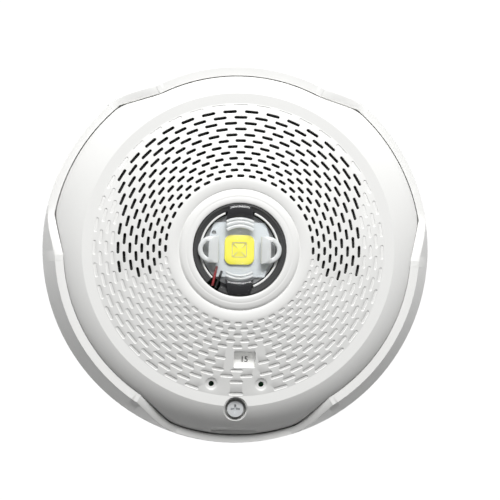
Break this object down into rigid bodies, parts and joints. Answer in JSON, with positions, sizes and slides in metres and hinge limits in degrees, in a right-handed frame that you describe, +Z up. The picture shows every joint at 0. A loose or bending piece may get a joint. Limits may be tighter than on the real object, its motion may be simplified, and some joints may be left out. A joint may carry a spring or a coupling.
{
  "type": "horn strobe",
  "caption": "Round horn strobe on its wall plate, with a slotted sounder grille, a clear lamp optic and a head that hinges off for wiring.",
  "frame": {"origin": "middle of the mounting plate's back face, on the wall", "axes": "+Z up with the captive screw at the bottom, +X to the right seen from the front, front faces -Y"},
  "size_m": [0.173, 0.039, 0.173],
  "materials": {
    "plate_white": "satin",
    "housing_white": "satin",
    "cover_grey": "satin",
    "black_plastic": "satin",
    "brass": "satin",
    "plated_metal": "satin",
    "zinc_steel": "satin",
    "board_green": "satin",
    "screen_black": "matt",
    "ceramic": "matt",
    "heat_sink": "satin",
    "seal_rubber": "matt",
    "collar_dark": "gloss",
    "lamp_board": "satin",
    "lamp_body": "gloss",
    "phosphor": "satin",
    "clear_optic": "gloss",
    "lead_red": "satin",
    "lead_black": "satin",
    "can_metal": "satin",
    "ferrite": "matt",
    "copper": "satin",
    "slider_white": "satin",
    "dial_white": "satin",
    "washer_black": "matt"
  },
  "bodies": {
    "plate": {"mounting_plate": "plate_white", "screw_insert": "brass", "terminal_block": "black_plastic", "terminal_contacts": "plated_metal", "terminal_clamps": "plated_metal", "terminal_screws": "zinc_steel", "shorting_spring": "plated_metal"},
    "head": {"front_housing": "housing_white", "rear_cover": "cover_grey", "cover_screws": "zinc_steel", "main_board": "board_green", "board_screws": "zinc_steel", "pin_header": "black_plastic", "contact_pins": "brass", "acoustic_screen": "screen_black", "horn_chamber": "black_plastic", "horn_disc": "brass", "horn_ceramic": "ceramic", "lens_holder": "black_plastic", "heat_sink": "heat_sink", "lens_seal": "seal_rubber", "lens_collar": "collar_dark", "trim_ring": "housing_white", "lamp_board": "lamp_board", "lamp_body": "lamp_body", "lamp_phosphor": "phosphor", "lens_optic": "clear_optic", "lamp_lead_red": "lead_red", "lamp_lead_black": "lead_black", "tone_switch": "black_plastic", "capacitor_bases": "black_plastic", "capacitors": "can_metal", "inductor_core": "ferrite", "inductor_coil": "copper", "circuit_chips": "black_plastic"},
    "screw_washer": {"screw_washer": "washer_black"},
    "mounting_screw": {"mounting_screw": "zinc_steel"},
    "candela_slider": {"candela_slider": "slider_white"},
    "tone_dial": {"tone_dial": "dial_white"}
  },
  "joints": [
    {"name": "head_swing", "type": "hinge", "parent": "plate", "child": "head", "pos_m": [0, -0.0148, 0.0771], "axis": [-1, 0, 0], "range_deg": [0, 20]},
    {"name": "screw_lift", "type": "slide", "parent": "head", "child": "screw_washer", "axis": [0, -1, 0], "range_m": [0, 0.0032]},
    {"name": "screw_turn", "type": "hinge", "parent": "screw_washer", "child": "mounting_screw", "pos_m": [0, -0.0155, -0.0707], "axis": [0, -1, 0], "range_deg": [0, 1441]},
    {"name": "candela_slide", "type": "slide", "parent": "head", "child": "candela_slider", "axis": [-1, 0, 0], "range_m": [0, 0.028]},
    {"name": "tone_turn", "type": "hinge", "parent": "head", "child": "tone_dial", "pos_m": [0.04, -0.0076, 0.018], "axis": [0, 1, 0], "range_deg": [0, 315]}
  ],
  "couplings": [
    {"joint": "screw_turn", "follows": "screw_lift", "rad_per_m": 7854}
  ]
}
